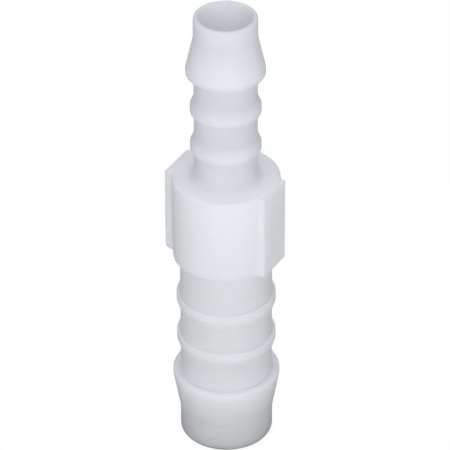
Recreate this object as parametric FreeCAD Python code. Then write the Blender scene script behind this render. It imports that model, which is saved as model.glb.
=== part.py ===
# Reducing hose connector, moulded in one piece. A hose of 12 mm bore goes on the large tail
# and a hose of 8 mm bore on the small one. Millimetres, the large tail's end on z = 0,
# +Z along the bore to the small end, and the two grip pads facing +X and -X.
import FreeCAD, Part
import math
import os

# Each tail has a plain land to start the hose on, a ramp up to a crest, and two lower rings.
# A rise is how far a feature stands out of the tail's stem. A length from one feature to
# another runs between their shoulders, which all face the body.
CREST_RISE = 1.00
RING_RISE = 0.48

# Large tail, whose hose comes on from below
LARGE_STEM_R = 5.87
LARGE_LAND_RISE = 0.08
LARGE_LAND_LENGTH = 3.67
LARGE_CREST_RAMP = 5.27
LARGE_CREST_LAND = 0.65
LARGE_RING_RAMP = 1.45
LARGE_RING_LAND = 0.96
LARGE_CREST_TO_RING = 6.07
LARGE_RING_TO_RING = 5.94
LARGE_RING_TO_BODY = 5.90
LARGE_END_ROUNDING = 0.80

# Round body between the tails, drafted so that it is widest at its top
BODY_HEIGHT = 11.80
BODY_RISE = 0.88
BODY_DRAFT = math.radians(0.65)
BODY_RIM_ROUNDING = 0.20
NECK_FILLET = 1.10

# Two flat grip pads for a spanner, whose sides flare towards the body. A pad's rise is
# counted from the body's top edge. The left pad stands further out than the right one, its
# top is level with the body's, and its flat is rounded more at the top and at the foot.
RIGHT_PAD_RISE = 0.16
LEFT_PAD_RISE = 0.46
PAD_WIDTH = 5.45
PAD_FLARE = math.radians(10.5)
RIGHT_PAD_BELOW_TOP = 0.15
PAD_EDGE_ROUNDING = 0.15
LEFT_PAD_TOP_ROUNDING = 0.40
LEFT_PAD_FOOT_ROUNDING = 0.65

# Small tail, whose hose comes on from above
SMALL_STEM_R = 4.00
SMALL_LAND_RISE = 0.03
SMALL_LAND_LENGTH = 2.91
SMALL_CREST_RAMP = 4.40
SMALL_CREST_LAND = 0.65
SMALL_RING_RAMP = 1.15
SMALL_RING_LAND = 0.88
SMALL_BODY_TO_RING = 4.25
SMALL_RING_TO_RING = 5.49
SMALL_RING_TO_CREST = 5.64
SMALL_END_ROUNDING = 0.36

# Bore: a straight length at each end, a slight draft behind it and a cone inside the body.
# A wall is that between the stem and the straight length.
LARGE_WALL = 1.07
LARGE_BORE_STRAIGHT = 8.0
SMALL_WALL = 0.58
SMALL_BORE_STRAIGHT = 6.0
BORE_DRAFT = math.radians(0.9)
BORE_CONE_START = 1.5
BORE_CONE_LENGTH = 6.5

# What the mould leaves on the other edges and in the other corners
EDGE_ROUNDING = 0.08
ROOT_FILLET = 0.15

# Heights and radii that follow from those sizes
LARGE_LAND_R = LARGE_STEM_R + LARGE_LAND_RISE
LARGE_CREST_SHOULDER = LARGE_LAND_LENGTH + LARGE_CREST_RAMP + LARGE_CREST_LAND
LARGE_RING_1 = LARGE_CREST_SHOULDER + LARGE_CREST_TO_RING
LARGE_RING_2 = LARGE_RING_1 + LARGE_RING_TO_RING
BODY_BOTTOM = LARGE_RING_2 + LARGE_RING_TO_BODY
BODY_TOP = BODY_BOTTOM + BODY_HEIGHT
BODY_BOTTOM_R = LARGE_STEM_R + BODY_RISE
BODY_TOP_R = BODY_BOTTOM_R + BODY_HEIGHT * math.tan(BODY_DRAFT)
SMALL_RING_1 = BODY_TOP + SMALL_BODY_TO_RING
SMALL_RING_2 = SMALL_RING_1 + SMALL_RING_TO_RING
SMALL_CREST_SHOULDER = SMALL_RING_2 + SMALL_RING_TO_CREST
SMALL_LAND_R = SMALL_STEM_R + SMALL_LAND_RISE
MOUTH = SMALL_CREST_SHOULDER + SMALL_CREST_LAND + SMALL_CREST_RAMP + SMALL_LAND_LENGTH


def tangent_points(before, corner, after, rounding):
    """The start, middle and end of the arc that rounds a corner of the profile."""
    to_before = (before - corner).normalize()
    to_after = (after - corner).normalize()
    half_angle = to_before.getAngle(to_after) / 2
    reach = rounding / math.tan(half_angle)
    centre = corner + (to_before + to_after).normalize() * (rounding / math.sin(half_angle))
    middle = centre + (corner - centre).normalize() * rounding
    return corner + to_before * reach, middle, corner + to_after * reach


def rounded_face(corners):
    """A flat face in the XZ plane from (radius, height, rounding) corners."""
    points = [FreeCAD.Vector(r, 0, z) for r, z, rounding in corners]
    arcs = []
    for i, (r, z, rounding) in enumerate(corners):
        if rounding:
            arcs.append(tangent_points(points[i - 1], points[i], points[(i + 1) % len(points)], rounding))
        else:
            arcs.append((points[i], None, points[i]))
    edges = []
    for i, (start, middle, end) in enumerate(arcs):
        if middle is not None:
            edges.append(Part.Arc(start, middle, end).toShape())
        next_start = arcs[(i + 1) % len(arcs)][0]
        edges.append(Part.makeLine(end, next_start))
    return Part.Face(Part.Wire(edges))


def large_tail_profile():
    """From the foot up to the underside of the body."""
    crest_r = LARGE_STEM_R + CREST_RISE
    ring_r = LARGE_STEM_R + RING_RISE
    corners = [
        (LARGE_LAND_R, 0, LARGE_END_ROUNDING),
        (LARGE_LAND_R, LARGE_LAND_LENGTH, 0),
        (crest_r, LARGE_CREST_SHOULDER - LARGE_CREST_LAND, 0),
        (crest_r, LARGE_CREST_SHOULDER, EDGE_ROUNDING),
        (LARGE_STEM_R, LARGE_CREST_SHOULDER, ROOT_FILLET),
    ]
    for shoulder in (LARGE_RING_1, LARGE_RING_2):
        ramp_top = shoulder - LARGE_RING_LAND
        corners += [
            (LARGE_STEM_R, ramp_top - LARGE_RING_RAMP, 0),
            (ring_r, ramp_top, 0),
            (ring_r, shoulder, EDGE_ROUNDING),
            (LARGE_STEM_R, shoulder, ROOT_FILLET),
        ]
    return corners


def body_profile():
    """From the underside of the body to the small stem."""
    return [
        (LARGE_STEM_R, BODY_BOTTOM, ROOT_FILLET),
        (BODY_BOTTOM_R, BODY_BOTTOM, EDGE_ROUNDING),
        (BODY_TOP_R, BODY_TOP, BODY_RIM_ROUNDING),
        (SMALL_STEM_R, BODY_TOP, NECK_FILLET),
    ]


def small_tail_profile():
    """From the body up to the mouth."""
    crest_r = SMALL_STEM_R + CREST_RISE
    ring_r = SMALL_STEM_R + RING_RISE
    corners = []
    for shoulder in (SMALL_RING_1, SMALL_RING_2):
        ramp_bottom = shoulder + SMALL_RING_LAND
        corners += [
            (SMALL_STEM_R, shoulder, ROOT_FILLET),
            (ring_r, shoulder, EDGE_ROUNDING),
            (ring_r, ramp_bottom, 0),
            (SMALL_STEM_R, ramp_bottom + SMALL_RING_RAMP, 0),
        ]
    ramp_bottom = SMALL_CREST_SHOULDER + SMALL_CREST_LAND
    return corners + [
        (SMALL_STEM_R, SMALL_CREST_SHOULDER, ROOT_FILLET),
        (crest_r, SMALL_CREST_SHOULDER, EDGE_ROUNDING),
        (crest_r, ramp_bottom, 0),
        (SMALL_LAND_R, ramp_bottom + SMALL_CREST_RAMP, 0),
        (SMALL_LAND_R, MOUTH, SMALL_END_ROUNDING),
    ]


def bore_profile():
    """From the mouth down through the part to the foot."""
    large_r = LARGE_STEM_R - LARGE_WALL
    small_r = SMALL_STEM_R - SMALL_WALL
    cone_bottom = BODY_BOTTOM + BORE_CONE_START
    cone_top = cone_bottom + BORE_CONE_LENGTH
    small_start = MOUTH - SMALL_BORE_STRAIGHT
    return [
        (small_r, MOUTH, EDGE_ROUNDING),
        (small_r, small_start, 0),
        (small_r - (small_start - cone_top) * math.tan(BORE_DRAFT), cone_top, 0),
        (large_r - (cone_bottom - LARGE_BORE_STRAIGHT) * math.tan(BORE_DRAFT), cone_bottom, 0),
        (large_r, LARGE_BORE_STRAIGHT, 0),
        (large_r, 0, EDGE_ROUNDING),
    ]


def turned_solid():
    """The whole connector without its pads, revolved round the bore."""
    corners = large_tail_profile() + body_profile() + small_tail_profile() + bore_profile()
    return rounded_face(corners).revolve(FreeCAD.Vector(0, 0, 0), FreeCAD.Vector(0, 0, 1), 360)


def grip_pad(rise, top, top_rounding, foot_rounding):
    """A pad that faces +X: a flared block that starts in the middle of the large tail's wall."""
    flat_x = BODY_TOP_R + rise
    root_x = LARGE_STEM_R - LARGE_WALL / 2
    half_flat = PAD_WIDTH / 2
    half_root = half_flat + (flat_x - root_x) * math.tan(PAD_FLARE)
    outline = [(root_x, -half_root), (flat_x, -half_flat), (flat_x, half_flat), (root_x, half_root)]
    points = [FreeCAD.Vector(x, y, BODY_BOTTOM) for x, y in outline + outline[:1]]
    pad = Part.Face(Part.makePolygon(points)).extrude(FreeCAD.Vector(0, 0, top - BODY_BOTTOM))

    # The flat's edges at the top and at the foot, then all edges at the pad's two sides
    for z, rounding in ((top, top_rounding), (BODY_BOTTOM, foot_rounding)):
        middle = FreeCAD.Vector(flat_x, 0, z)
        nearest = min(pad.Edges, key=lambda edge: edge.CenterOfMass.distanceToPoint(middle))
        pad = pad.makeFillet(rounding, [nearest])
    off_root = [edge for edge in pad.Edges if edge.BoundBox.XMax > (root_x + flat_x) / 2]
    at_sides = [edge for edge in off_root if edge.BoundBox.YLength < half_flat]
    return pad.makeFillet(PAD_EDGE_ROUNDING, at_sides)


def hose_connector():
    """The turned solid with a grip pad on each side."""
    right_top = BODY_TOP - RIGHT_PAD_BELOW_TOP
    right_pad = grip_pad(RIGHT_PAD_RISE, right_top, PAD_EDGE_ROUNDING, PAD_EDGE_ROUNDING)
    left_pad = grip_pad(LEFT_PAD_RISE, BODY_TOP, LEFT_PAD_TOP_ROUNDING, LEFT_PAD_FOOT_ROUNDING)
    left_pad.rotate(FreeCAD.Vector(0, 0, 0), FreeCAD.Vector(0, 0, 1), 180)

    # The right pad first: of the orders tried it fails at the fewest body heights, but at 0.82
    # of the height above it still gives no solid
    return turned_solid().fuse(right_pad).fuse(left_pad).removeSplitter()


os.makedirs("parts", exist_ok=True)
hose_connector().exportStep("parts/hose_connector.step")
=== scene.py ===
# Reducing hose connector of natural acetal, standing on its large end on a pale floor.
# Metres and the CAD frame: foot on z = 0, bore along +Z, grip pads facing +X and -X.
import math

import bpy
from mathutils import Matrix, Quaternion, Vector

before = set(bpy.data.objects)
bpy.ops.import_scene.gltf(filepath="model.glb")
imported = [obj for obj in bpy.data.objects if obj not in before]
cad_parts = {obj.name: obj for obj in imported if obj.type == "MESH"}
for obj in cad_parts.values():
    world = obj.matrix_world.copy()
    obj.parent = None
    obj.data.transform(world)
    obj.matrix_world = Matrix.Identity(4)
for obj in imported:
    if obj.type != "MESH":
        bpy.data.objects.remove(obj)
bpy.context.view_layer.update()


# Hose connector
# The whole fitting is one injection moulding of natural acetal, shot into two cavity halves
# whose tails were turned on a lathe, with a core pin from each end for the bore. It is the
# CAD node itself, because a rigid moulding needs nothing that the solid hasn't got.
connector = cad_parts["hose_connector"]


def linear(hex_colour):
    """An sRGB hex colour as the linear RGBA that a shader takes."""
    channels = [int(hex_colour[i:i + 2], 16) / 255 for i in (1, 3, 5)]
    return [c / 12.92 if c <= 0.04045 else ((c + 0.055) / 1.055) ** 2.4 for c in channels] + [1.0]


def add_node(tree, kind, inputs=(), **settings):
    """A new node with its settings; each input is a value or the output that feeds it."""
    node = tree.nodes.new(kind)
    for name, value in settings.items():
        setattr(node, name, value)
    for name, value in dict(inputs).items():
        if isinstance(value, bpy.types.NodeSocket):
            tree.links.new(value, node.inputs[name])
        else:
            node.inputs[name].default_value = value
    return node


# Natural acetal, moulded. Milky white and matt: light goes about 3 mm into it and comes out
# again all round, which softens every edge and keeps the side away from a lamp bright.
light_reach = 0.0030
acetal = bpy.data.materials.new("natural acetal, moulded")
acetal.use_nodes = True
tree = acetal.node_tree
tree.nodes.clear()
place = add_node(tree, "ShaderNodeTexCoord").outputs["Object"]

# Cloudiness of the melt, in patches of about 5 mm
cloud_size = 0.005
clouds = add_node(tree, "ShaderNodeTexNoise", {
    "Vector": place, "Scale": 1 / cloud_size, "Detail": 3.0, "Roughness": 0.55})
colour = add_node(tree, "ShaderNodeMix", {
    "Factor": clouds.outputs["Fac"],
    "A": linear("#f7f9fc"),
    "B": linear("#fcfdff"),
}, data_type="RGBA")

# Marks of the lathe that turned the cavity: faint rings round the bore, which follow the height
# on the walls and the radius on the shoulders. Real ones are about 0.1 mm apart and a few microns
# deep; here they are 0.6 mm apart and deeper, because light in the plastic blurs them.
ring_spacing = 0.0006
ring_depth = 0.00006
parts = add_node(tree, "ShaderNodeSeparateXYZ", {"Vector": place}).outputs
flat_place = add_node(tree, "ShaderNodeCombineXYZ", {"X": parts["X"], "Y": parts["Y"]})
radius = add_node(tree, "ShaderNodeVectorMath", {
    0: flat_place.outputs["Vector"]}, operation="LENGTH")
feed = add_node(tree, "ShaderNodeMath", {
    0: parts["Z"], 1: radius.outputs["Value"]}, operation="ADD")
rings = add_node(tree, "ShaderNodeTexNoise", {
    "W": feed.outputs[0],
    "Scale": 1 / ring_spacing,
    "Detail": 1.0,
    "Roughness": 0.5,
}, noise_dimensions="1D")
turned = add_node(tree, "ShaderNodeBump", {
    "Height": rings.outputs["Fac"], "Strength": 1.0, "Distance": ring_depth})

# Satin of the spark-eroded cavity: the real grit is about 0.03 mm, drawn at 0.3 mm to show
grit_size = 0.0003
grit_depth = 0.00004
grit = add_node(tree, "ShaderNodeTexNoise", {
    "Vector": place, "Scale": 1 / grit_size, "Detail": 2.0, "Roughness": 0.6})
satin = add_node(tree, "ShaderNodeBump", {
    "Height": grit.outputs["Fac"],
    "Strength": 1.0,
    "Distance": grit_depth,
    "Normal": turned.outputs["Normal"],
})

acetal_shader = add_node(tree, "ShaderNodeBsdfPrincipled", {
    "Base Color": colour.outputs["Result"],
    "Roughness": 0.85,
    "IOR": 1.48,
    "Normal": satin.outputs["Normal"],
    "Subsurface Weight": 1.0,
    "Subsurface Radius": (1.0, 1.0, 1.0),
    "Subsurface Scale": light_reach,
    "Subsurface Anisotropy": 0.8,
})
add_node(tree, "ShaderNodeOutputMaterial", {"Surface": acetal_shader.outputs["BSDF"]})
connector.data.materials.clear()
connector.data.materials.append(acetal)

# The light passes many times between the walls of the bore, so the mouth isn't a dark hole
bore_bounces = 16
bpy.context.scene.cycles.diffuse_bounces = bore_bounces
bpy.context.scene.cycles.max_bounces = bore_bounces


# Floor and backdrop
# A plain white card that runs out of sight. To the camera it is white, with the connector's
# own shadow. What it throws back on the connector fades out close round the foot, because a
# painted shadow darkens its colour there, which keeps the foot about as dark as in the photograph.
bpy.ops.object.select_all(action="DESELECT")
bpy.ops.mesh.primitive_plane_add(size=8, location=(0, 0, 0))
floor = bpy.context.object
floor.name = "floor"


def seen_rays(tree):
    """1 where the backdrop is seen directly, in a reflection or through glass, and 0 elsewhere."""
    paths = add_node(tree, "ShaderNodeLightPath").outputs
    mirrored = add_node(tree, "ShaderNodeMath", {
        0: paths["Is Camera Ray"], 1: paths["Is Glossy Ray"]}, operation="MAXIMUM")
    return add_node(tree, "ShaderNodeMath", {
        0: mirrored.outputs[0], 1: paths["Is Transmission Ray"]}, operation="MAXIMUM").outputs[0]


# Painted shadow: to the connector the card is nearly black within 9 mm of the axis and turns white
# by 18 mm
painted_shadow_within = 0.009
painted_shadow_until = 0.018
card = bpy.data.materials.new("white card, matt")
card.use_nodes = True
tree = card.node_tree
tree.nodes.clear()
place = add_node(tree, "ShaderNodeTexCoord").outputs["Object"]
from_axis = add_node(tree, "ShaderNodeVectorMath", {0: place}, operation="LENGTH")
whiteness_with_painted_shadow = add_node(tree, "ShaderNodeMapRange", {
    "Value": from_axis.outputs["Value"],
    "From Min": painted_shadow_within, "From Max": painted_shadow_until, "To Min": 0.02, "To Max": 0.8})
bounce_with_painted_shadow = add_node(tree, "ShaderNodeBsdfDiffuse", {"Color": whiteness_with_painted_shadow.outputs["Result"]})
shadowed = add_node(tree, "ShaderNodeBsdfDiffuse", {"Color": linear("#7a7a7a")})
glow = add_node(tree, "ShaderNodeEmission", {"Color": (1, 1, 1, 1), "Strength": 0.88})
white = add_node(tree, "ShaderNodeAddShader", {0: shadowed.outputs[0], 1: glow.outputs[0]})
both = add_node(tree, "ShaderNodeMixShader", {
    0: seen_rays(tree), 1: bounce_with_painted_shadow.outputs[0], 2: white.outputs[0]})
add_node(tree, "ShaderNodeOutputMaterial", {"Surface": both.outputs[0]})
floor.data.materials.append(card)

# The room lights the connector as pale grey walls do, and the camera sees it white
world = bpy.data.worlds.new("studio")
bpy.context.scene.world = world
world.use_nodes = True
tree = world.node_tree
tree.nodes.clear()
room = add_node(tree, "ShaderNodeMix", {
    "Factor": seen_rays(tree), "A": linear("#a2a4a8"), "B": linear("#ffffff")}, data_type="RGBA")
sky = add_node(tree, "ShaderNodeBackground", {"Color": room.outputs["Result"], "Strength": 1.0})
add_node(tree, "ShaderNodeOutputWorld", {"Surface": sky.outputs[0]})


# Lamps
# Two soft boxes stand on the camera's side, one along the view and one near the table. Two
# more hang overhead and stand low behind the connector, and the pale room fills the rest. All
# of it is slightly cool.
def soft_box(name, azimuth, elevation, power):
    """A square soft box turned to the middle of the connector."""
    middle = Vector((0, 0, 0.033))
    distance, side = 0.6, 0.35
    a, e = math.radians(azimuth), math.radians(elevation)
    lamp = bpy.data.objects.new(name, bpy.data.lights.new(name, "AREA"))
    lamp.data.shape = "SQUARE"
    lamp.data.size = side
    lamp.data.energy = power
    lamp.data.color = linear("#f9fcff")[:3]
    away = Vector((math.sin(a) * math.cos(e), -math.cos(a) * math.cos(e), math.sin(e)))
    lamp.location = middle + away * distance
    lamp.rotation_euler = away.to_track_quat("Z", "Y").to_euler()
    bpy.context.collection.objects.link(lamp)


soft_box("front soft box", azimuth=29.5, elevation=34, power=0.68)
soft_box("low soft box", azimuth=29.5, elevation=8, power=1.21)
soft_box("overhead soft box", azimuth=29.5, elevation=86, power=0.55)
soft_box("back soft box", azimuth=209.5, elevation=15, power=0.67)


# Camera
# The photograph's view: a long lens half a metre away, looking down at 34 degrees.
azimuth, elevation, roll = math.radians(29.46), math.radians(34.41), math.radians(-0.16)
distance = 0.5348
aim_height, aim_to_left = 0.03166, 0.00013
right = Vector((math.cos(azimuth), math.sin(azimuth), 0))
level = Vector((math.sin(azimuth), -math.cos(azimuth), 0))
back = level * math.cos(elevation) + Vector((0, 0, math.sin(elevation)))
camera = bpy.data.objects.new("camera", bpy.data.cameras.new("camera"))
camera.data.sensor_width = 36
camera.data.lens = 337.7
camera.location = Vector((0, 0, aim_height)) - right * aim_to_left + back * distance
camera.rotation_mode = "QUATERNION"
camera.rotation_quaternion = back.to_track_quat("Z", "Y") @ Quaternion((0, 0, 1), roll)
bpy.context.collection.objects.link(camera)
bpy.context.scene.camera = camera

bpy.context.scene.view_settings.view_transform = "Standard"
